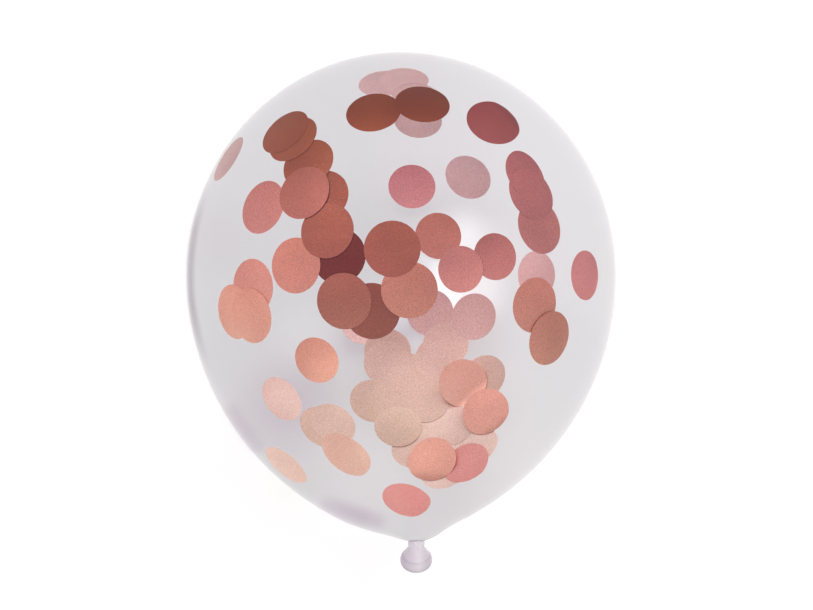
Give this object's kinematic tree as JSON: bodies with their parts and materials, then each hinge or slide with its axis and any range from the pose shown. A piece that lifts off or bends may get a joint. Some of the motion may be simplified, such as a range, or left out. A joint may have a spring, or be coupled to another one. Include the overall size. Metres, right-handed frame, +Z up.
{
  "type": "confetti balloon",
  "caption": "Clear latex party balloon, blown up and tied, with round rose-gold foil confetti clinging inside it. It lies on its side on a small flat spot.",
  "frame": {"origin": "middle of the small flat spot that the balloon lies on, under its widest ring", "axes": "+Y along the balloon's axis from the tied tail to the crown, +Z up from the floor, +X to the right when seen from above with the crown away from the viewer"},
  "size_m": [0.305, 0.3707, 0.3026],
  "materials": {
    "clear_latex": "gloss",
    "rose_foil": "satin metallic",
    "pale_reverse": "satin"
  },
  "bodies": {
    "root": {"balloon": "clear_latex"}
  },
  "joints": []
}
